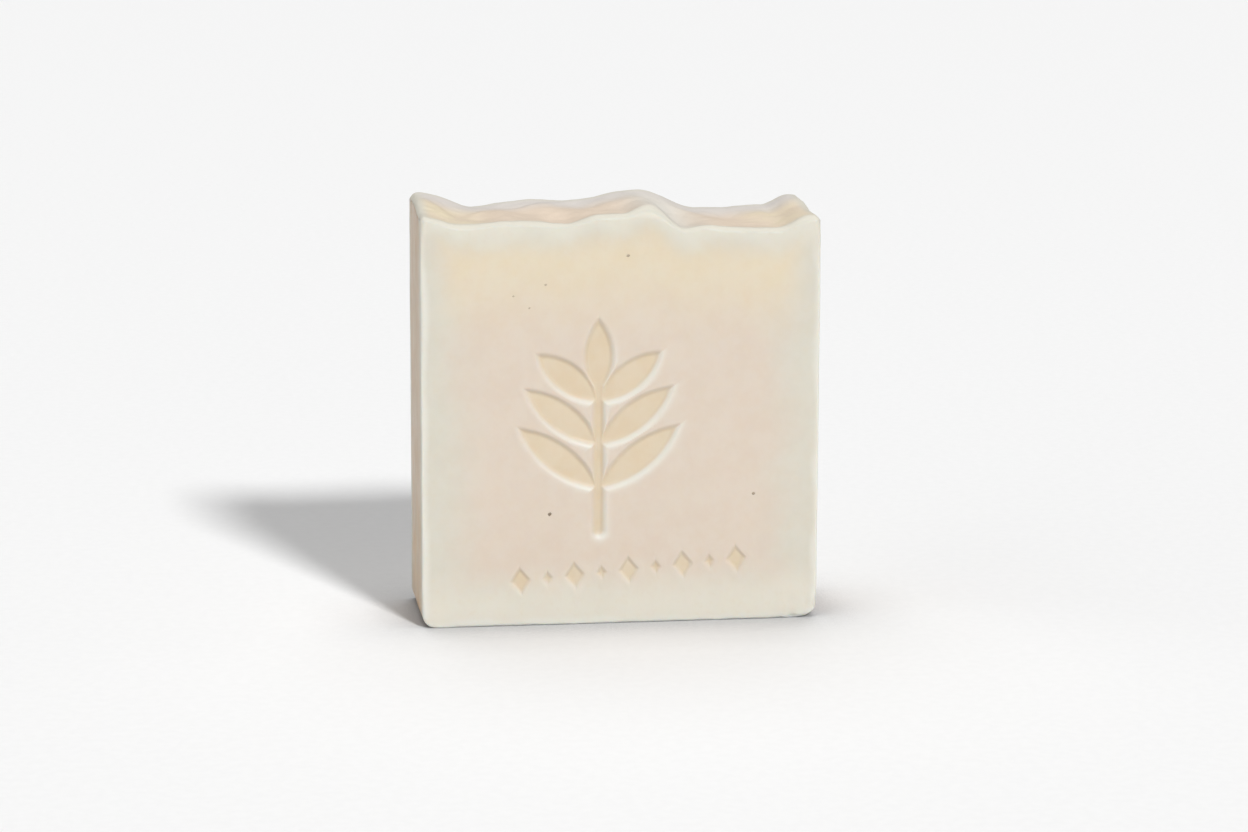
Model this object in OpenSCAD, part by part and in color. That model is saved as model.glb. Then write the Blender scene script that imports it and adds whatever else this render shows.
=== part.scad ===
// Slice of cast tallow soap with a spooned, rough top and a stamped cut face.
// It stands on its moulded base: X is its width, Y runs from the stamped face to the back, Z is up.
// The origin is the middle of the base.

/* [Bar] */
// Width, from one mould wall to the other
bar_w = 76; // [60:1:100]
// Thickness of the slice, from cut face to cut face
bar_d = 25; // [18:1:36]
// Height from the base to the mean level of the rough top
bar_h = 77; // [64:1:100]
// Radius that the mould leaves on the two lower corners
mould_r = 2.6; // [1:0.2:5]
// Width of the flat planed along each edge of the cut faces
edge_bevel = 0.9; // [0.4:0.1:2]

/* [Rough top] */
// Height of the crests and hollows, where 1 is as listed under Hidden
relief = 1; // [0.2:0.1:1.5]
// How far the middle of the top dips below its rims, away from the mould walls
dish = 0.5; // [0:0.1:1.5]
// Height of the ripples that the spoon left
ripple = 0.3; // [0:0.05:0.6]
// Distance from one spoon ripple to the next
ripple_pitch = 13; // [8:1:30]
// Rounding of the rim of the top
rim_r = 0.8; // [0.3:0.1:1.5]
// Thickness of the pale, dried skin on the top
skin_t = 0.7; // [0.4:0.1:1.2]

/* [Stamp] */
// Depth of the stamped sprig
sprig_depth = 0.7; // [0.5:0.1:2]
// Height of the sprig, from the foot of its stem to its tip
sprig_h = 41; // [38:1:44]
// Width of the stem
stem_w = 1.8; // [1:0.1:2.4]
// Width of a leaf at its middle
leaf_w = 5.2; // [4:0.2:6]
// Length of the lowest pair of leaves
leaf_l = 19; // [15:0.5:21]
// Angle between the stem and a leaf
leaf_angle = 52; // [45:1:60]
// Distance along the stem from one pair of leaves to the next
leaf_pitch = 8.4; // [8:0.1:9.4]
// Depth of the row of lozenges below the sprig
row_depth = 0.4; // [0.3:0.1:1.2]
// Distance between neighbouring lozenges
row_pitch = 5.2; // [4.6:0.1:5.8]
// Gap between the foot of the sprig and the middle of the row
row_gap = 6.8; // [6:0.2:8]
// Tilt of the row, which was pressed in by hand
row_tilt = 4.5; // [0:0.5:6]

/* [Hidden] */

// Crests and hollows along each cut face: place as a share of the half width, height over the mean level.
front_rim = [
    [-1, 1.8], [-0.79, 0], [-0.57, 0.7], [-0.29, 0.1], [-0.1, 1.6], [0, 1.8], [0.14, 3.4], [0.32, -1.3],
    [0.42, -0.6], [0.56, -1.2], [0.78, -1.4], [0.95, 0.8], [1, 0.7],
];
back_rim = [
    [-1, 2.9], [-0.95, 3.2], [-0.68, 0.4], [-0.52, 1.1], [-0.36, 1.6], [-0.19, 1.3], [0.15, 3.2],
    [0.47, -0.4], [0.57, -0.5], [0.8, -0.1], [0.93, 1.7], [1, 1.5],
];
// Leaves of a pair, from the lowest pair up: length as a share of leaf_l.
leaf_shares = [1, 0.92, 0.77];
// Leaf at the tip of the stem, as a share of leaf_l.
tip_share = 0.7;
// Large and small lozenges of the row, from one end to the other: width, height.
row_sizes = [for (i = [0 : 8]) i % 2 == 0 ? [3.4, 4.6] : [1.5, 2]];
// Specks in the cut faces: share of the half width, share of the height, radius, and the face, -1 for the
// stamped one and 1 for the back.
specks = [
    [-0.36, 0.28, 0.45, -1], [0.67, 0.32, 0.36, -1], [0.03, 0.92, 0.34, -1], [-0.38, 0.852, 0.3, -1],
    [-0.54, 0.825, 0.26, -1], [-0.46, 0.795, 0.26, -1], [0.52, 0.61, 0.35, 1], [-0.3, 0.37, 0.4, 1],
    [-0.71, 0.83, 0.3, 1], [0.15, 0.13, 0.26, 1],
];

// Place of the stamp: its centre line from the middle of the face, and its middle as a share of the height.
stamp_x = -4.3;
stamp_level = 0.43;
row_x = 1.5;
row_h = max([for (s = row_sizes) s[1]]);
stamp_h = sprig_h + row_gap + row_h / 2;
sprig_foot = bar_h * stamp_level + stamp_h / 2 - sprig_h;

// The rough top is a grid of columns across the width and rows through the thickness.
columns = 50;
rows = 12;
// Power that keeps the dip of the top clear of the mould walls: a higher one takes it nearer to them.
wall_grip = 4;
// Extra columns and rows that round the rim, as shares of the way in from the side.
rim_steps = [0, 0.3, 0.65];
// Soap left between the skin's lowest hollow and the flat at top_base.
cover = 1;
deepest = -min([for (p = concat(front_rim, back_rim)) p[1]]);
top_base = bar_h - relief * deepest - dish - ripple - rim_r - skin_t - cover;
$fn = 48;

function ease(t) = t * t * (3 - 2 * t);

// Level of a rim at u, a share of the half width: an S-curve from each crest or hollow to the next.
function rim_level(rim, u) =
    let (i = max([for (k = [0 : len(rim) - 2]) if (u >= rim[k][0] || k == 0) k]))
    let (a = rim[i], b = rim[i + 1])
    a[1] + (b[1] - a[1]) * ease(min(1, max(0, (u - a[0]) / (b[0] - a[0]))));

// Half the thickness at x, which the bevels narrow next to the sides.
function half_depth(x) = bar_d / 2 - max(0, abs(x) - (bar_w / 2 - edge_bevel));

// How far the rounded rim lies below the surface at a distance from the nearest side.
function rim_drop(x, y) =
    let (to_side = max(0, min(bar_w / 2 - abs(x), half_depth(x) - abs(y))))
    let (q = max(0, 1 - to_side / rim_r))
    rim_r * (1 - sqrt(1 - q * q));

function top_level(x, y) =
    let (u = 2 * x / bar_w, v = 0.5 + y / bar_d)
    let (rims = rim_level(front_rim, u) * (1 - ease(v)) + rim_level(back_rim, u) * ease(v))
    let (wave = sin(360 * (x + 0.6 * y) / ripple_pitch), sag = dish * (1 - pow(abs(u), wall_grip)))
    bar_h + relief * rims + (ripple * wave - sag) * sin(180 * v) - rim_drop(x, y);

// Places from -end to end: even ones in the middle, and the rim's steps in the margin at each end.
function places(end, margin, count) = concat(
    [for (s = rim_steps) s * margin - end],
    [for (i = [0 : count]) (2 * i / count - 1) * (end - margin)],
    [for (k = [len(rim_steps) - 1 : -1 : 0]) end - rim_steps[k] * margin]
);

// Columns in mm, with one at each bevel, and rows as shares of the half thickness.
column_x = places(bar_w / 2, edge_bevel, columns);
row_share = places(1, 2 * rim_r / bar_d, rows);
n_x = len(column_x);
n_y = len(row_share);
grid = [for (share = row_share) for (x = column_x) [x, share * half_depth(x)]];

function at(i, j) = j * n_x + i;

// Points of the grid around its border, counter-clockwise seen from above.
border = concat(
    [for (i = [0 : n_x - 2]) at(i, 0)],
    [for (j = [0 : n_y - 2]) at(n_x - 1, j)],
    [for (i = [n_x - 1 : -1 : 1]) at(i, n_y - 1)],
    [for (j = [n_y - 1 : -1 : 1]) at(0, j)]
);
n_border = len(border);

// Triangles of one grid surface, clockwise seen from above, with points numbered from first on.
function surface_up(first) = [
    for (j = [0 : n_y - 2])
        for (i = [0 : n_x - 2])
            let (a = first + at(i, j), b = first + at(i + 1, j))
            let (c = first + at(i + 1, j + 1), d = first + at(i, j + 1))
            for (t = [[a, d, c], [a, c, b]]) t
];

function turned(faces) = [for (f = faces) [f[0], f[2], f[1]]];

// The dried skin: the rough surface, and the same surface skin_t lower.
module skin_layer() {
    upper = [for (p = grid) [p[0], p[1], top_level(p[0], p[1])]];
    lower = [for (p = upper) [p[0], p[1], p[2] - skin_t]];
    under = len(grid);
    sides = [
        for (k = [0 : n_border - 1])
            let (a = border[k], b = border[(k + 1) % n_border])
            for (t = [[a, b, under + b], [a, under + b, under + a]]) t
    ];
    faces = concat(surface_up(0), turned(surface_up(under)), sides);
    polyhedron(concat(upper, lower), faces, convexity = 6);
}

// Soap under the skin, down to a flat at top_base.
module rough_block() {
    upper = [for (p = grid) [p[0], p[1], top_level(p[0], p[1]) - skin_t]];
    ring = [for (k = border) [grid[k][0], grid[k][1], top_base]];
    under = len(grid);
    middle = under + n_border;
    sides = [
        for (k = [0 : n_border - 1])
            let (l = (k + 1) % n_border)
            for (t = [[border[k], border[l], under + l], [border[k], under + l, under + k]]) t
    ];
    base = [for (k = [0 : n_border - 1]) [middle, under + k, under + (k + 1) % n_border]];
    points = concat(upper, ring, [[0, 0, top_base]]);
    polyhedron(points, concat(surface_up(0), sides, base), convexity = 6);
}

// A rectangle with its corners cut off by the edge bevel.
module bevelled(w, d) {
    b = edge_bevel;
    polygon([
        [b - w / 2, -d / 2], [w / 2 - b, -d / 2], [w / 2, b - d / 2], [w / 2, d / 2 - b],
        [w / 2 - b, d / 2], [b - w / 2, d / 2], [-w / 2, d / 2 - b], [-w / 2, b - d / 2],
    ]);
}

// Section of the loaf: square above, rounded at the mould's two lower corners.
module loaf_section() {
    for (side = [-1, 1]) translate([side * (bar_w / 2 - mould_r), mould_r]) circle(mould_r);
    translate([mould_r - bar_w / 2, 0]) square([bar_w - 2 * mould_r, top_base]);
    translate([-bar_w / 2, mould_r]) square([bar_w, top_base - mould_r]);
}

// The slice from its base up to top_base.
module slab() {
    side_h = 2 * top_base;
    intersection() {
        rotate([90, 0, 0]) linear_extrude(bar_d + 2, center = true) loaf_section();
        linear_extrude(top_base) bevelled(bar_w, bar_d);
        translate([0, 0, side_h / 2]) rotate([90, 0, 90]) linear_extrude(bar_w + 2, center = true)
            bevelled(bar_d, side_h);
    }
}

// A pointed leaf of length l along +Y, from the origin.
module leaf(l, w) {
    r = (l * l / w + w) / 4;
    intersection() {
        translate([r - w / 2, l / 2]) circle(r);
        translate([w / 2 - r, l / 2]) circle(r);
    }
}

module lozenge(w, h) {
    polygon([[-w / 2, 0], [0, -h / 2], [w / 2, 0], [0, h / 2]]);
}

// Cuts a flat shape into the stamped face to a depth.
module pressed(depth) {
    translate([0, depth - bar_d / 2, 0]) rotate([90, 0, 0]) linear_extrude(depth + 1) children();
}

module sprig() {
    tip_l = leaf_l * tip_share;
    pairs = len(leaf_shares);
    first = sprig_h - tip_l - (pairs - 1) * leaf_pitch;
    translate([stamp_x, sprig_foot]) {
        translate([-stem_w / 2, 0]) square([stem_w, sprig_h - tip_l + 2]);
        translate([0, sprig_h - tip_l]) leaf(tip_l, leaf_w);
        for (i = [0 : pairs - 1]) for (side = [-1, 1])
            translate([0, first + i * leaf_pitch - stem_w]) rotate(side * leaf_angle)
                leaf(leaf_l * leaf_shares[i], leaf_w);
    }
}

module lozenge_row() {
    n = len(row_sizes);
    translate([row_x, sprig_foot - row_gap]) rotate(row_tilt) for (i = [0 : n - 1])
        translate([(i - (n - 1) / 2) * row_pitch, 0]) lozenge(row_sizes[i][0], row_sizes[i][1]);
}

module speck_balls() {
    for (s = specks)
        translate([s[0] * bar_w / 2, s[3] * (bar_d / 2 - s[2] / 3), s[1] * bar_h]) sphere(s[2]);
}

module soap_body() {
    color("#e5d6c4") difference() {
        union() {
            slab();
            rough_block();
        }
        pressed(sprig_depth) sprig();
        pressed(row_depth) lozenge_row();
        speck_balls();
    }
}

module top_skin() {
    color("#e2e0d2") skin_layer();
}

// Grains that the cutting wire left flush with the cut faces.
module dark_specks() {
    color("#6a5a4a") intersection() {
        speck_balls();
        translate([-bar_w / 2, -bar_d / 2, 0]) cube([bar_w, bar_d, bar_h]);
    }
}

soap_body();
top_skin();
dark_specks();
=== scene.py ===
"""A slice of cast tallow soap with a spooned, rough top and a stamped face, standing on its moulded base.

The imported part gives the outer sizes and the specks. The stamp and the crests below repeat the sizes of its
source. This script makes the finished surfaces: planed edges, the soft walls of the stamp, the rough skin,
the grains, and the colour of the soap from its heart to its rims. Shapes are worked out in millimetres and
turned into metres when a piece is finished.
"""
import math

import bmesh
import bpy
import numpy as np
from mathutils import Euler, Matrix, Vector, noise


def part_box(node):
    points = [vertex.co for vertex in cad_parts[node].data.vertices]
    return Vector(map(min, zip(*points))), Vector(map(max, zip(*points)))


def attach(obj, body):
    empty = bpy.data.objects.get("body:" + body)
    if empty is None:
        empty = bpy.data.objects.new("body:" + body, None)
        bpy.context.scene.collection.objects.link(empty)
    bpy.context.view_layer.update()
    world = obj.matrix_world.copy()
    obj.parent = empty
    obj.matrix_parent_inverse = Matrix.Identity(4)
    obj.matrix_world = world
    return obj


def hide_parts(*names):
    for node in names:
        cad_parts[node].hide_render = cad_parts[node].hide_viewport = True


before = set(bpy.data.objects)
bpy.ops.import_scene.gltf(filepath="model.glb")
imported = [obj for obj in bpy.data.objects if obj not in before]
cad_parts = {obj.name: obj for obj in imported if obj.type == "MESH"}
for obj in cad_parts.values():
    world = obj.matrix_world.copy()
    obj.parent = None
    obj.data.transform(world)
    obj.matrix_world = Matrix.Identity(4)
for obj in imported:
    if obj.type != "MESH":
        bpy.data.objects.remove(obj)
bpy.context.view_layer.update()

MM = 0.001
BODY = "root"

# Sizes of the bar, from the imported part.
BODY_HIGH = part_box("soap_body")[1] / MM
SKIN_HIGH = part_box("top_skin")[1] / MM
HALF_W = BODY_HIGH.x
HALF_D = BODY_HIGH.y
SKIN_T = SKIN_HIGH.z - BODY_HIGH.z

# Crests and hollows along each cut face: place as a share of the half width, height over the mean level.
FRONT_RIM = (
    (-1.0, 1.8), (-0.79, 0.0), (-0.57, 0.7), (-0.29, 0.1), (-0.1, 1.6), (0.0, 1.8), (0.14, 3.4),
    (0.32, -1.3), (0.42, -0.6), (0.56, -1.2), (0.78, -1.4), (0.95, 0.8), (1.0, 0.7),
)
BACK_RIM = (
    (-1.0, 2.9), (-0.95, 3.2), (-0.68, 0.4), (-0.52, 1.1), (-0.36, 1.6), (-0.19, 1.3), (0.15, 3.2),
    (0.47, -0.4), (0.57, -0.5), (0.8, -0.1), (0.93, 1.7), (1.0, 1.5),
)
MEAN_TOP = 77.0
RELIEF_FROM = 50.0

# The open top between its rims: a dip that ends at the mould walls, slanting ripples, and bent folds.
DISH = 0.5
WALL_GRIP = 4.0
RIPPLE = 0.3
RIPPLE_PITCH = 13.0
RIPPLE_SLANT = 0.6
FOLD = 0.5
FOLD_SINK = 0.2
FOLD_SIZE = 8.0
FOLD_CLOSENESS = 2.2
FOLD_BEND = 3.0
FOLD_BEND_SIZE = 15.0

# Edges: the mould's lower corners, and the flats planed along the cut faces, which end in a soft ridge.
# The flats widen towards the top, beginning 5 mm below its mean level.
MOULD_R = 2.6
MOULD_SEGMENTS = 10
FLAT_LOW = 0.4
FLAT_HIGH = 0.95
FLAT_HIGH_FROM = 5.0
FLAT_HIGH_OVER = 4.0
FLAT_POWER = 1.5
FLAT_SHARE = 0.35
FRONT_TO_BACK = 4.0

# Wear on the front: the places of the worn crest and corner, and how much wider their flats are.
WORN_CREST = 5.5
WORN_CREST_MORE = 1.3
WORN_CORNER = (37.0, 1.0)
WORN_CORNER_MORE = 0.9
WORN_REACH = 3.0
DENT_REACH = 11.0
DENT_DEPTH = 0.6
DENT_SIZE = 1.5

# Unevenness, each layer as its height, the size of its lumps and its seed.
WIRE_WAVES = ((0.13, 17.0, 5.2), (0.03, 5.0, 8.3))
MOULD_WAVE = (0.07, 11.0, 3.7)
FLAT_WANDER = ((0.18, 6.0, 7.7), (0.12, 2.5, 4.1))
SKIN_RUFFLE = ((0.12, 4.0, 1.3), (0.09, 1.7, 9.4))
WAVE_FADE = 3.0
SIDES_APART = 9.0

# Spacing of the cuts that make the surfaces fine enough to shape, and the closer ones next to each edge.
CELL = 0.5
CELL_HIGH = 1.0
EDGE_CUTS = (0.12, 0.25, 0.4, 0.7)
STAMP_REACHES = (1.6, 1.0)
SHARP_ANGLE = math.radians(60)

# The stamp, in millimetres from the middle of the bar and its base.
SPRIG_FOOT = (-4.3, 17.2)
SPRIG_H = 41.0
STEM_W = 1.8
LEAF_L = 19.0
LEAF_W = 5.2
LEAF_ANGLE = math.radians(52)
LEAF_PITCH = 8.4
LEAF_SHARES = (1.0, 0.92, 0.77)
TIP_SHARE = 0.7
SPRIG_DEPTH = 0.7
ROW_MIDDLE = (1.5, 10.4)
ROW_TILT = math.radians(4.5)
ROW_PITCH = 5.2
ROW_LOZENGES = ((3.4, 4.6), (1.5, 2.0)) * 4 + ((3.4, 4.6),)
ROW_DEPTH = 0.4
SPRIG_WALL = 1.3
ROW_WALL = 0.8
TINTED_WALL = 0.8
STAMP_LIP = 0.06
LIP_AT = 0.9
LIP_REACH = 0.6

# Painted highlight around the sprig, where light catches the stamp's edge: its reach, its least strength, and
# its rise below and to the right.
HIGHLIGHT_REACH = 1.3
HIGHLIGHT_LEAST = 0.35
HIGHLIGHT_RISE = 0.65
HIGHLIGHT_WAY = (0.45, -0.9)

# Places of the skin's colours: the hump along the front rim, and where the two ends begin.
HUMP_X = 9.0
HUMP_REACH = 6.0
ENDS_FROM = 22.0
ENDS_OVER = 9.0


def ease(t):
    t = np.clip(t, 0.0, 1.0)
    return t * t * (3.0 - 2.0 * t)


def lumps(points, size, seed):
    """Smooth noise from -1 to 1 at each point, with lumps of about that size."""
    return np.array([noise.noise(Vector(p) / size + Vector((seed, seed, seed))) for p in points])


def uneven(points, layers):
    """Layers of noise added up, each given as its height, the size of its lumps and its seed."""
    return sum(height * lumps(points, size, seed) for height, size, seed in layers)


def on_front(y):
    """1 on the front cut face, falling to 0 at 2 mm behind it."""
    return ease((-y - HALF_D + 2.0) / 1.5)


# ---------------------------------------------------------------- shape of the top


def rim_level(rim, share):
    """Level of a rim: an S-curve from each crest or hollow to the next."""
    places, levels = np.array(rim).T
    i = np.clip(np.searchsorted(places, share, side="right") - 1, 0, len(rim) - 2)
    return levels[i] + (levels[i + 1] - levels[i]) * ease((share - places[i]) / (places[i + 1] - places[i]))


def folds(x, y):
    """Creases that the spoon left, from -1 in the hollows to 1 on their soft crests."""
    ground = np.stack([x, 1.5 * y, 0.0 * x], axis=1)
    bend = FOLD_BEND * lumps(ground, FOLD_BEND_SIZE, seed=2.2)
    strokes = np.stack([x + bend, 0.8 * y - bend, 0.0 * x], axis=1)
    return 2.0 * ease(1.0 - FOLD_CLOSENESS * np.abs(lumps(strokes, FOLD_SIZE, seed=4.4))) - 1.0


def relief(x, y):
    """Height of the rough top over its mean level."""
    share = np.clip(x / HALF_W, -1.0, 1.0)
    back = np.clip((y / HALF_D + 1.0) / 2.0, 0.0, 1.0)
    rims = rim_level(FRONT_RIM, share) * (1.0 - ease(back)) + rim_level(BACK_RIM, share) * ease(back)
    wave = RIPPLE * np.sin(2.0 * np.pi * (x + RIPPLE_SLANT * y) / RIPPLE_PITCH)
    off_walls = 1.0 - np.abs(share) ** WALL_GRIP
    sag = DISH * off_walls
    fold = FOLD * (0.5 * folds(x, y) - FOLD_SINK) * off_walls
    return rims + (wave - sag + fold) * np.sin(np.pi * back)


# ---------------------------------------------------------------- shape of the stamp


def leaf_distance(x, z, length, width, angle, base):
    """Distance from the outline of a pointed leaf, less than 0 inside it."""
    across = (x - base[0]) * math.cos(angle) + (z - base[1]) * math.sin(angle)
    along = (z - base[1]) * math.cos(angle) - (x - base[0]) * math.sin(angle) - length / 2.0
    radius = (length * length / width + width) / 4.0
    return np.hypot(np.abs(across) + radius - width / 2.0, along) - radius


def sprig_distance(x, z):
    """Distance from the outline of the sprig, less than 0 inside it."""
    foot_x, foot_z = SPRIG_FOOT
    tip_l = LEAF_L * TIP_SHARE
    stem_l = SPRIG_H - tip_l + 1.0
    on_stem = np.clip(z - foot_z, STEM_W / 2.0, stem_l)
    found = np.hypot(x - foot_x, z - foot_z - on_stem) - STEM_W / 2.0
    first = SPRIG_H - tip_l - (len(LEAF_SHARES) - 1) * LEAF_PITCH - STEM_W
    leaves = [(0.0, tip_l, foot_z + SPRIG_H - tip_l)]
    for i, share in enumerate(LEAF_SHARES):
        for side in (-1, 1):
            leaves.append((side * LEAF_ANGLE, LEAF_L * share, foot_z + first + i * LEAF_PITCH))
    for angle, length, base_z in leaves:
        found = np.minimum(found, leaf_distance(x, z, length, LEAF_W, angle, (foot_x, base_z)))
    return found


def row_distance(x, z):
    """Distance from the outlines of the row of lozenges, less than 0 inside them."""
    along = (x - ROW_MIDDLE[0]) * math.cos(ROW_TILT) + (z - ROW_MIDDLE[1]) * math.sin(ROW_TILT)
    up = (z - ROW_MIDDLE[1]) * math.cos(ROW_TILT) - (x - ROW_MIDDLE[0]) * math.sin(ROW_TILT)
    found = np.full(np.shape(x), 1e3)
    for i, (w, h) in enumerate(ROW_LOZENGES):
        place = (i - (len(ROW_LOZENGES) - 1) / 2.0) * ROW_PITCH
        lozenge = (np.abs(along - place) * h + np.abs(up) * w - w * h / 2.0) / math.hypot(w, h)
        found = np.minimum(found, lozenge)
    return found


def pressed_share(distance, wall):
    """How far the stamp has sunk at a distance from its outline, from 0 on the face to 1 on the floor."""
    return ease(0.5 - distance / wall)


def stamp_distance(x, z):
    return np.minimum(sprig_distance(x, z), row_distance(x, z))


def stamped(x, z):
    """How deep the stamp is at each place on the front face, with its pushed-up lip."""
    sprig = pressed_share(sprig_distance(x, z), SPRIG_WALL) * SPRIG_DEPTH
    row = pressed_share(row_distance(x, z), ROW_WALL) * ROW_DEPTH
    lip = STAMP_LIP * np.exp(-(((stamp_distance(x, z) - LIP_AT) / LIP_REACH) ** 2))
    return sprig + row - lip


def lit_side(x, z):
    """Strength of the painted highlight round the stamp: 1 where the way out of the stamp is down or right,
    and less where it is up or left.
    """
    step = 0.05
    across = stamp_distance(x + step, z) - stamp_distance(x - step, z)
    up = stamp_distance(x, z + step) - stamp_distance(x, z - step)
    facing = (HIGHLIGHT_WAY[0] * across + HIGHLIGHT_WAY[1] * up) / (2.0 * step)
    return np.clip(HIGHLIGHT_LEAST + HIGHLIGHT_RISE * facing, 0.0, 1.0)


# ---------------------------------------------------------------- shape of the edges


def to_outline(x, z):
    """Distance in from the mould walls and the base, and the way inwards from the nearest of them."""
    side = HALF_W - np.abs(x)
    out_x, out_z = MOULD_R - side, MOULD_R - z
    reach = np.maximum(np.hypot(out_x, out_z), 1e-6)
    in_corner = (out_x > 0.0) & (out_z > 0.0)
    depth = np.where(in_corner, MOULD_R - reach, np.minimum(side, z))
    way_x = -np.sign(x) * np.where(in_corner, out_x / reach, side < z)
    way_z = np.where(in_corner, out_z / reach, side >= z)
    return depth, way_x, way_z


def flat_width(points):
    """Width of the flat planed along each edge: wide on the worn crest and corner, and narrow lower down."""
    x, y, z = points.T
    high = ease((z - MEAN_TOP + FLAT_HIGH_FROM) / FLAT_HIGH_OVER)
    front = ease(0.5 - y / FRONT_TO_BACK)
    crest = np.exp(-(((x - WORN_CREST) / WORN_REACH) ** 2)) * high * front
    away_squared = (x - WORN_CORNER[0]) ** 2 + (z - WORN_CORNER[1]) ** 2
    corner = np.exp(-away_squared / WORN_REACH**2) * front
    worn = WORN_CREST_MORE * crest + WORN_CORNER_MORE * corner
    return FLAT_LOW + (FLAT_HIGH - FLAT_LOW) * high + worn + uneven(points, FLAT_WANDER)


def planed(points):
    """Moves for the points next to the edges that leave a soft flat, and how far each point is on it."""
    x, y, z = points.T
    width = flat_width(points)
    depth, way_x, way_z = to_outline(x, z)
    lacks = np.maximum(0.0, width - np.stack([depth, HALF_D - np.abs(y), MEAN_TOP - z]))
    reach = np.maximum(lacks.max(axis=0), 1e-6)
    total = np.maximum((lacks**FLAT_POWER).sum(axis=0) ** (1.0 / FLAT_POWER), 1e-6)
    moves = lacks * (1.0 - reach / total)
    steps = np.stack([way_x * moves[0], -np.sign(y) * moves[1], way_z * moves[0] - moves[2]], axis=1)
    return steps, np.clip(moves.sum(axis=0) / (FLAT_SHARE * width), 0.0, 1.0)


def wavering(points):
    """Moves for the slow waves that the wire left in the cut faces, and the mould in the walls."""
    x, y, z = points.T
    face = np.stack([x, SIDES_APART * np.sign(y), z], axis=1)
    wire = uneven(face, WIRE_WAVES)
    wall = np.stack([SIDES_APART * np.sign(x), y, z], axis=1)
    height, size, seed = MOULD_WAVE
    mould = height * (1.0 + lumps(wall, size, seed))
    at_face = ease((np.abs(y) - HALF_D + WAVE_FADE) / WAVE_FADE)
    at_wall = ease((np.abs(x) - HALF_W + WAVE_FADE) / WAVE_FADE)
    return np.stack([-np.sign(x) * at_wall * mould, -np.sign(y) * at_face * wire, 0.0 * z], axis=1)


def dented(points):
    """Moves that leave small dents in the worn lower corner of the front face."""
    x, y, z = points.T
    away = np.hypot(x - WORN_CORNER[0], 1.6 * (z - WORN_CORNER[1]))
    near = ease(1.0 - away / DENT_REACH) * ease((-y - HALF_D + 1.5) / 1.2)
    depth = DENT_DEPTH * near * np.maximum(0.0, lumps(points, DENT_SIZE, seed=2.9) + 0.1)
    return np.stack([0.0 * x, depth, 0.4 * depth * ease(1.5 - z)], axis=1)


# ---------------------------------------------------------------- pieces


def along_axis(edge, axis):
    step = edge.verts[1].co - edge.verts[0].co
    return abs(step[axis]) > 0.99 * step.length


def cast_slice():
    """The slice as it comes from the mould, with a flat top at the mean level."""
    bm = bmesh.new()
    bmesh.ops.create_cube(bm, size=2.0)
    bmesh.ops.scale(bm, vec=(HALF_W, HALF_D, MEAN_TOP / 2.0), verts=bm.verts)
    bmesh.ops.translate(bm, vec=(0.0, 0.0, MEAN_TOP / 2.0), verts=bm.verts)
    low = [e for e in bm.edges if along_axis(e, 1) and e.verts[0].co.z < 1.0]
    bmesh.ops.bevel(
        bm, geom=low, offset=MOULD_R, segments=MOULD_SEGMENTS, offset_type="OFFSET", affect="EDGES",
        profile=0.5, material=-1,
    )
    return bm


def keep_side(bm, level, above):
    """Cuts the slice at a level, keeps the part above or below it, and closes the cut."""
    geom = bm.verts[:] + bm.edges[:] + bm.faces[:]
    cut = bmesh.ops.bisect_plane(
        bm, geom=geom, dist=1e-5, plane_co=(0.0, 0.0, level), plane_no=(0.0, 0.0, 1.0),
        clear_inner=above, clear_outer=not above,
    )
    open_edges = [e for e in cut["geom_cut"] if isinstance(e, bmesh.types.BMEdge)]
    bmesh.ops.contextual_create(bm, geom=open_edges)


def slice_up(bm, axis, start, end, cell):
    """Cuts the surface along parallel planes, closer together at both ends, and leaves it in one piece."""
    count = round((end - start) / cell)
    even = [start + (end - start) * i / count for i in range(1, count)]
    close = [place for step in EDGE_CUTS for place in (start + step, end - step)]
    normal = Vector([1.0 if i == axis else 0.0 for i in range(3)])
    for place in even + close:
        geom = bm.verts[:] + bm.edges[:] + bm.faces[:]
        bmesh.ops.bisect_plane(bm, geom=geom, dist=1e-4, plane_co=normal * place, plane_no=normal)


def refine_stamp(bm):
    """Splits the faces near the outline of the stamp into quarters, once for each reach."""
    for reach in STAMP_REACHES:
        front = [f for f in bm.faces if f.normal.y < -0.99]
        middles = np.array([f.calc_center_median() for f in front])
        distance = np.abs(stamp_distance(middles[:, 0], middles[:, 2]))
        edges = list({e for f, d in zip(front, distance) if d < reach for e in f.edges})
        bmesh.ops.subdivide_edges(bm, edges=edges, cuts=1, use_grid_fill=True)


def note(mesh, name, values):
    """Stores one number for each point of the mesh, for its finish to read."""
    layer = mesh.attributes.new(name, "FLOAT", "POINT")
    layer.data.foreach_set("value", np.ascontiguousarray(values, dtype=np.float32))


def note_places(mesh, points, flat):
    """Notes where each point lies on the bar, for the finishes to choose their colours by."""
    x, y, z = points.T
    by_sprig = sprig_distance(x, z)
    # A pale ring round the sprig, painted highlight that is strongest on its lower and right sides.
    highlight_ring = ease((by_sprig + 0.5) / 0.8) * np.exp(-((np.maximum(by_sprig, 0.0) / HIGHLIGHT_REACH) ** 2))
    # A point on a face has one gap of 0, so the second smallest is its distance from the nearest edge.
    gaps = np.sort(np.stack([HALF_W - np.abs(x), HALF_D - np.abs(y), z, MEAN_TOP - z]), axis=0)
    hump = np.exp(-(((x - HUMP_X) / HUMP_REACH) ** 2)) * ease((13.0 - y) / 10.0)
    note(mesh, "edge", gaps[1])
    note(mesh, "below_top", MEAN_TOP - z)
    note(mesh, "planed", flat)
    note(mesh, "wall", (np.abs(x) > HALF_W - MOULD_R) * ease((HALF_D + 0.5 - np.abs(y)) / 6.0))
    note(mesh, "pressed", on_front(y) * pressed_share(stamp_distance(x, z), TINTED_WALL))
    note(mesh, "painted_highlight", on_front(y) * highlight_ring * lit_side(x, z))
    note(mesh, "crest", hump)
    note(mesh, "back_rim", ease((y - 1.0) / 8.0))
    note(mesh, "ends", ease((np.abs(x) - ENDS_FROM) / ENDS_OVER))


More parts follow.
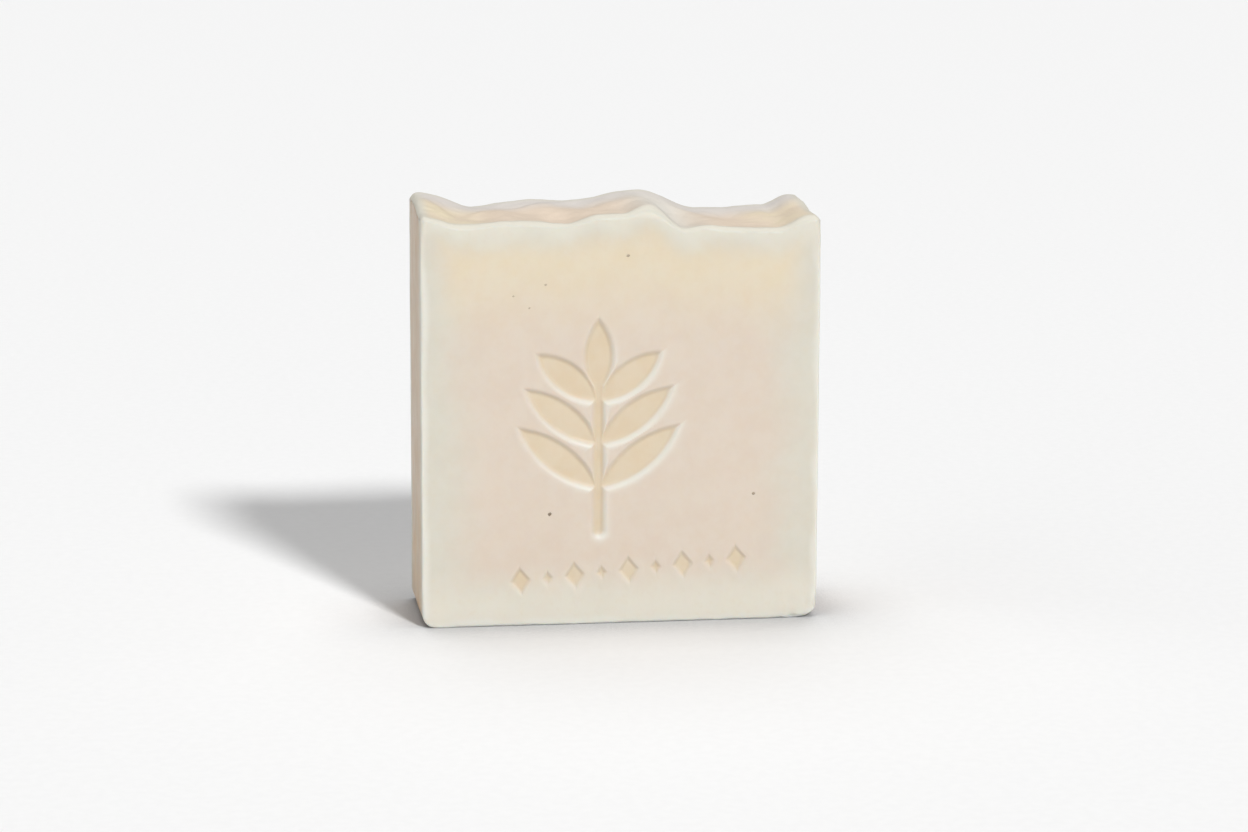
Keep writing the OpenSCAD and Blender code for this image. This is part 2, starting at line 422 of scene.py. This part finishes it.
def shaped(mesh, skin):
    """Moves a flat-topped piece's points to their places on the finished bar."""
    points = np.empty(len(mesh.vertices) * 3)
    mesh.vertices.foreach_get("co", points)
    points = points.reshape(-1, 3)
    x, y, z = points.T
    steps, flat = planed(points)
    moved = points + steps + wavering(points) + dented(points)
    moved[:, 1] += on_front(y) * stamped(x, z)
    moved[:, 2] += ease((z - RELIEF_FROM) / (MEAN_TOP - SKIN_T - RELIEF_FROM)) * relief(x, y)
    if skin:
        up = np.clip((z - (MEAN_TOP - SKIN_T)) / SKIN_T, 0.0, 1.0)
        ground = np.stack([x, y, 0.0 * z], axis=1)
        moved[:, 2] += up * uneven(ground, SKIN_RUFFLE)
    moved *= MM
    mesh.vertices.foreach_set("co", moved.ravel())
    note_places(mesh, points, flat)
    mesh.update()


def in_scene(name, data):
    """A new object that holds the data, linked to the scene."""
    item = bpy.data.objects.new(name, data)
    bpy.context.scene.collection.objects.link(item)
    return item


def finished(bm, name):
    """Turns a bmesh into an object with soft shading."""
    bmesh.ops.recalc_face_normals(bm, faces=bm.faces)
    mesh = bpy.data.meshes.new(name)
    bm.to_mesh(mesh)
    bm.free()
    mesh.shade_smooth()
    return in_scene(name, mesh)


def soap_slab():
    bm = cast_slice()
    seam = MEAN_TOP - SKIN_T
    keep_side(bm, seam, above=False)
    slice_up(bm, 0, -HALF_W, HALF_W, CELL)
    slice_up(bm, 1, -HALF_D, HALF_D, CELL)
    slice_up(bm, 2, 0.0, seam, CELL_HIGH)
    refine_stamp(bm)
    piece = finished(bm, "soap_slab")
    shaped(piece.data, skin=False)
    piece.data.set_sharp_from_angle(angle=SHARP_ANGLE)
    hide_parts("soap_body")
    return piece


def dried_skin():
    bm = cast_slice()
    keep_side(bm, MEAN_TOP - SKIN_T, above=True)
    slice_up(bm, 0, -HALF_W, HALF_W, CELL)
    slice_up(bm, 1, -HALF_D, HALF_D, CELL)
    piece = finished(bm, "dried_skin")
    shaped(piece.data, skin=True)
    piece.data.set_sharp_from_angle(angle=SHARP_ANGLE)
    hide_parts("top_skin")
    return piece


def speck_places():
    """Middle and radius of each speck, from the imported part."""
    found = []
    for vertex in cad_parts["dark_specks"].data.vertices:
        place = Vector(vertex.co) / MM
        near = next((group for group in found if (group[0] - place).length < 2.0), None)
        if near:
            near.append(place)
        else:
            found.append([place])
    places = []
    for group in found:
        xs = [p.x for p in group]
        zs = [p.z for p in group]
        middle = Vector(((min(xs) + max(xs)) / 2.0, group[0].y, (min(zs) + max(zs)) / 2.0))
        places.append((middle, (max(xs) - min(xs)) / 2.0))
    return sorted(places, key=lambda place: (round(place[0].x, 2), round(place[0].z, 2)))


def dark_grains():
    """Uneven grains, half sunk in the cut faces."""
    bm = bmesh.new()
    sizes = []
    for i, (middle, radius) in enumerate(speck_places()):
        side = math.copysign(1.0, middle.y)
        face = np.array([[middle.x, side * HALF_D, middle.z]])
        place = Vector(face[0] + wavering(face)[0])
        grain = bmesh.ops.create_icosphere(bm, subdivisions=3, radius=0.85 * radius)["verts"]
        for vertex in grain:
            rough = noise.noise(vertex.co / (0.9 * radius) + Vector((7.3 * i, 0.0, 0.0)))
            vertex.co *= 0.95 + 0.55 * rough
        bmesh.ops.scale(bm, vec=(1.0, 0.4, 0.85), verts=grain)
        bmesh.ops.translate(bm, vec=place, verts=grain)
        sizes += [radius] * len(grain)
    bmesh.ops.scale(bm, vec=(MM, MM, MM), verts=bm.verts)
    piece = finished(bm, "dark_grains")
    note(piece.data, "large", ease((np.array(sizes) - 0.28) / 0.14))
    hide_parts("dark_specks")
    return piece


# ---------------------------------------------------------------- finishes


def tone(code):
    """Linear colour from a hex code such as e5d6c4."""
    parts = [int(code[i : i + 2], 16) / 255.0 for i in (0, 2, 4)]
    return [p / 12.92 if p <= 0.04045 else ((p + 0.055) / 1.055) ** 2.4 for p in parts] + [1.0]


class Finish:
    """A material under construction. Calls add nodes and give back the socket to carry on from."""

    def __init__(self, name, **shader):
        self.material = bpy.data.materials.new(name)
        self.material.use_nodes = True
        self.tree = self.material.node_tree
        self.shader = self.tree.nodes["Principled BSDF"]
        self.place = self.node("ShaderNodeTexCoord").outputs["Object"]
        for socket, value in shader.items():
            self.shader.inputs[socket.replace("_", " ")].default_value = value

    def node(self, kind, inputs=(), **settings):
        node = self.tree.nodes.new(kind)
        for name, value in settings.items():
            setattr(node, name, value)
        for socket, value in dict(inputs).items():
            if isinstance(value, bpy.types.NodeSocket):
                self.tree.links.new(value, node.inputs[socket])
            else:
                node.inputs[socket].default_value = value
        return node

    def noted(self, name):
        return self.node("ShaderNodeAttribute", attribute_name=name).outputs["Fac"]

    def lumps(self, size_mm, detail=2.0, rough=0.5, stretch=(1.0, 1.0, 1.0)):
        """Noise of about 0 to 1, with lumps of that size in millimetres."""
        scale = [s / (size_mm * MM) for s in stretch]
        spread = self.node("ShaderNodeMapping", {"Vector": self.place, "Scale": scale}).outputs["Vector"]
        inputs = {"Vector": spread, "Scale": 1.0, "Detail": detail, "Roughness": rough}
        return self.node("ShaderNodeTexNoise", inputs).outputs["Fac"]

    def drift(self, size_mm, low, high, **noise_settings):
        """Noise with lumps of that size that runs from low to high."""
        return self.fade(self.lumps(size_mm, **noise_settings), 0.3, 0.7, low, high)

    def fade(self, value, start, end, low=0.0, high=1.0):
        """low where value is at start, high where it is at end, and a smooth change between."""
        inputs = {"Value": value, "From Min": start, "From Max": end, "To Min": low, "To Max": high}
        return self.node("ShaderNodeMapRange", inputs, interpolation_type="SMOOTHSTEP").outputs["Result"]

    def maths(self, a, b, operation="ADD"):
        return self.node("ShaderNodeMath", {0: a, 1: b}, operation=operation).outputs["Value"]

    def mix(self, share, a, b):
        """Colour a where share is 0, and b where it is 1."""
        # Of the mix node's sockets, inputs 6 and 7 and output 2 are the ones for colours.
        return self.node("ShaderNodeMix", {0: share, 6: a, 7: b}, data_type="RGBA").outputs[2]

    def bump(self, heights, strength=1.0):
        """Adds up the heights, each (socket, millimetres)."""
        normal = None
        for height, size_mm in heights:
            inputs = {"Height": height, "Distance": size_mm * MM, "Strength": strength}
            if normal:
                inputs["Normal"] = normal
            normal = self.node("ShaderNodeBump", inputs).outputs["Normal"]
        self.tree.links.new(normal, self.shader.inputs["Normal"])

    def colour(self, socket):
        self.tree.links.new(socket, self.shader.inputs["Base Color"])

    def roughness(self, socket):
        self.tree.links.new(socket, self.shader.inputs["Roughness"])


# Colours of the soap from its heart out to its rims, of the painted bounce light near its base, of its stamp
# and the painted highlight round it, of the walls and their painted glow, and of the skin.
HEART = tone("cabcad")
PALE = tone("c5c1b4")
RIM = tone("cecabd")
WARM = tone("d0c3aa")
WHITE = tone("d6d6ce")
PAINTED_BOUNCE = tone("d2cdc0")
TAN = tone("cab99f")
WALL_GLOW = tone("c4ab90")
AMBER_GLOW = tone("d0b088")
PEACH = tone("dac9b6")
STRAW = tone("dccfb4")
CHALK = tone("d2cec5")
ASH = tone("d0cac4")


def soap_colour(finish):
    """The colour that the slab and its skin share: from the heart out to the pale rims."""
    edge = finish.noted("edge")
    wander = finish.drift(11.0, low=-1.5, high=1.5)
    colour = finish.mix(finish.fade(finish.maths(edge, wander), 13.0, 1.0), HEART, PALE)
    depth = finish.noted("below_top")
    side = finish.fade(edge, 1.0, 8.0)
    level = finish.maths(depth, finish.maths(wander, 0.5, "MULTIPLY"))
    warm = finish.maths(finish.fade(level, 25.0, 5.0), side, "MULTIPLY")
    colour = finish.mix(warm, colour, WARM)
    # Painted bounce light: the lowest part of the faces is made paler, standing in for light thrown up from
    # the floor.
    colour = finish.mix(finish.fade(level, 64.0, 76.0), colour, PAINTED_BOUNCE)
    colour = finish.mix(finish.fade(finish.maths(depth, wander), 5.5, 0.5), colour, RIM)
    # Whiter near the edges and on the planed flats: partly a frost of ash, partly painted light that offsets
    # the shade on the flats.
    frost_and_painted_light = finish.mix(finish.fade(depth, 3.0, 12.0), RIM, WHITE)
    thin = finish.maths(edge, finish.maths(wander, 0.3, "MULTIPLY"))
    colour = finish.mix(finish.fade(thin, 1.8, 0.3, low=0.0, high=0.6), colour, frost_and_painted_light)
    return finish.mix(finish.fade(finish.noted("planed"), 0.0, 0.8), colour, frost_and_painted_light)


def wall_colour_and_glow(finish, colour):
    """The mould walls: a warm tint, painted glow of light through the soap, amber low down, with paler
    streaks.
    """
    streaks = finish.lumps(5.0, detail=3.0, rough=0.6, stretch=(1.0, 1.6, 0.45))
    wall = finish.mix(finish.fade(streaks, 0.35, 0.7, low=0.05, high=0.35), WALL_GLOW, PALE)
    low_down = finish.fade(finish.noted("below_top"), 50.0, 64.0)
    patch = finish.fade(finish.lumps(11.0), 0.35, 0.7, low=0.0, high=0.8)
    wall = finish.mix(finish.maths(low_down, patch, "MULTIPLY"), wall, AMBER_GLOW)
    return finish.mix(finish.noted("wall"), colour, wall)


def soap_finish():
    finish = Finish(
        "waxy_soap", Roughness=0.5, IOR=1.46, Subsurface_Weight=0.35, Subsurface_Radius=(1.0, 0.6, 0.35),
        Subsurface_Scale=0.0012,
    )
    colour = wall_colour_and_glow(finish, soap_colour(finish))
    colour = finish.mix(finish.noted("pressed"), colour, TAN)
    # Painted highlight: the ring round the sprig is whitened most on its lower and right sides.
    colour = finish.mix(finish.fade(finish.noted("painted_highlight"), 0.0, 1.0, low=0.0, high=0.75), colour, WHITE)
    colour = finish.mix(finish.drift(3.5, low=0.0, high=0.14, detail=4.0, rough=0.6), colour, WHITE)
    flecks = finish.fade(finish.lumps(1.1, detail=3.0, rough=0.6), 0.5, 0.8, low=0.0, high=0.16)
    finish.colour(finish.mix(flecks, colour, TAN))
    finish.roughness(finish.drift(6.0, low=0.44, high=0.6, detail=3.0))
    waves = finish.lumps(7.0, detail=3.0)
    pores = finish.lumps(0.5, rough=0.6)
    wire_drag = finish.lumps(1.3, rough=0.6, stretch=(1.0, 1.0, 0.05))
    finish.bump([(waves, 0.12), (pores, 0.015), (wire_drag, 0.03)], strength=0.6)
    return finish.material


def skin_finish():
    finish = Finish("dried_skin", Roughness=0.75, IOR=1.4)
    blotch = finish.drift(9.0, low=0.1, high=1.0, detail=3.0, rough=0.55)
    open_top = finish.mix(finish.maths(finish.noted("ends"), blotch, "MULTIPLY"), PEACH, STRAW)
    open_top = finish.mix(finish.noted("back_rim"), open_top, ASH)
    open_top = finish.mix(finish.noted("crest"), open_top, CHALK)
    finish.colour(finish.mix(finish.fade(finish.noted("edge"), 0.5, 3.0), soap_colour(finish), open_top))
    finish.roughness(finish.drift(2.0, low=0.65, high=0.85, detail=3.0))
    ruffle = finish.lumps(1.6, detail=3.0, rough=0.6)
    finish.bump([(ruffle, 0.1), (finish.lumps(0.4), 0.02)], strength=0.7)
    return finish.material


def grain_finish():
    finish = Finish("speck", Roughness=0.8)
    dark = finish.mix(finish.lumps(0.3), tone("6e6050"), tone("968876"))
    light = finish.mix(finish.lumps(0.3), tone("a89a86"), tone("beb09c"))
    finish.colour(finish.mix(finish.noted("large"), light, dark))
    return finish.material


# Painted contact shadow: the floor's colour darkens near the bar, where it sees less of the open sky.
PAINTED_SHADOW_REACH = 24.0 * MM
PAINTED_CONTACT_SHADOW = tone("acacae")
PAINTED_SHADOW_CURVE = 2.3
SKY_OPEN = 0.98
SKY_SHUT = 0.52


def painted_shadow_floor_finish():
    finish = Finish("studio_floor", Roughness=0.9)
    paper = finish.drift(2.0, low=0.0, high=1.0, detail=4.0)
    pale = finish.mix(paper, tone("f2f2f2"), tone("f4f4f4"))
    sky = finish.node("ShaderNodeAmbientOcclusion", {"Distance": PAINTED_SHADOW_REACH}, samples=4).outputs["AO"]
    # How strong the painted contact shadow is at each place on the floor.
    close = finish.maths(finish.fade(sky, SKY_OPEN, SKY_SHUT), PAINTED_SHADOW_CURVE, "POWER")
    finish.colour(finish.mix(close, pale, PAINTED_CONTACT_SHADOW))
    return finish.material


# ---------------------------------------------------------------- studio

FLOOR_R = 6.0
AIM = Vector((2.2, 0.0, 37.8)) * MM
LENS_MM = 109.6
SENSOR_MM = 36.0
CAMERA_DISTANCE = 731.0 * MM
CAMERA_AZIMUTH = math.radians(-7.9)
CAMERA_ELEVATION = math.radians(10.94)
CAMERA_ROLL = math.radians(0.22)
ROOM_LIGHT = 0.1
ROOM_SEEN = 0.94


def direction(azimuth, elevation):
    """Unit vector from the bar towards something seen at that azimuth, 0 being straight in front."""
    flat = math.cos(elevation)
    return Vector((math.sin(azimuth) * flat, -math.cos(azimuth) * flat, math.sin(elevation)))


def studio_floor():
    bm = bmesh.new()
    bmesh.ops.create_circle(bm, cap_ends=True, segments=64, radius=FLOOR_R)
    mesh = bpy.data.meshes.new("studio_floor")
    bm.to_mesh(mesh)
    bm.free()
    mesh.materials.append(painted_shadow_floor_finish())
    floor = in_scene("studio_floor", mesh)


def soft_light(name, azimuth, elevation, spread, strength):
    """A broad lamp far away. Angles are in degrees; spread is the one that it fills, seen from the bar."""
    light = bpy.data.lights.new(name, "SUN")
    light.angle = math.radians(spread)
    light.energy = strength
    lamp = in_scene(name, light)
    back = direction(math.radians(azimuth), math.radians(elevation))
    lamp.location = AIM + back
    lamp.rotation_euler = back.to_track_quat("Z", "Y").to_euler()


def pale_room():
    """Even light from all round, and a background as pale as the floor."""
    world = bpy.data.worlds.new("pale_room")
    world.use_nodes = True
    nodes, links = world.node_tree.nodes, world.node_tree.links
    seen = nodes.new("ShaderNodeLightPath").outputs["Is Camera Ray"]
    strength = nodes.new("ShaderNodeMapRange")
    strength.inputs["To Min"].default_value = ROOM_LIGHT
    strength.inputs["To Max"].default_value = ROOM_SEEN
    links.new(seen, strength.inputs["Value"])
    links.new(strength.outputs["Result"], nodes["Background"].inputs["Strength"])
    nodes["Background"].inputs["Color"].default_value = (1.0, 1.0, 1.0, 1.0)
    bpy.context.scene.world = world


def studio_lights():
    soft_light("key_light", azimuth=19.5, elevation=36.0, spread=8.5, strength=2.9)
    soft_light("overhead_light", azimuth=180.0, elevation=62.0, spread=46.0, strength=1.1)
    soft_light("left_fill", azimuth=-75.0, elevation=14.0, spread=80.0, strength=1.05)
    pale_room()
    bpy.context.scene.view_settings.view_transform = "Standard"


def studio_camera():
    data = bpy.data.cameras.new("camera")
    data.lens = LENS_MM
    data.sensor_width = SENSOR_MM
    camera = in_scene("camera", data)
    back = direction(CAMERA_AZIMUTH, CAMERA_ELEVATION)
    camera.location = AIM + back * CAMERA_DISTANCE
    turn = back.to_track_quat("Z", "Y").to_matrix() @ Euler((0.0, 0.0, CAMERA_ROLL)).to_matrix()
    camera.rotation_euler = turn.to_euler()
    bpy.context.scene.camera = camera


# ---------------------------------------------------------------- the scene

studio_camera()
studio_lights()
studio_floor()
for make, finish in ((soap_slab, soap_finish), (dried_skin, skin_finish), (dark_grains, grain_finish)):
    piece = make()
    piece.data.materials.append(finish())
    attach(piece, BODY)
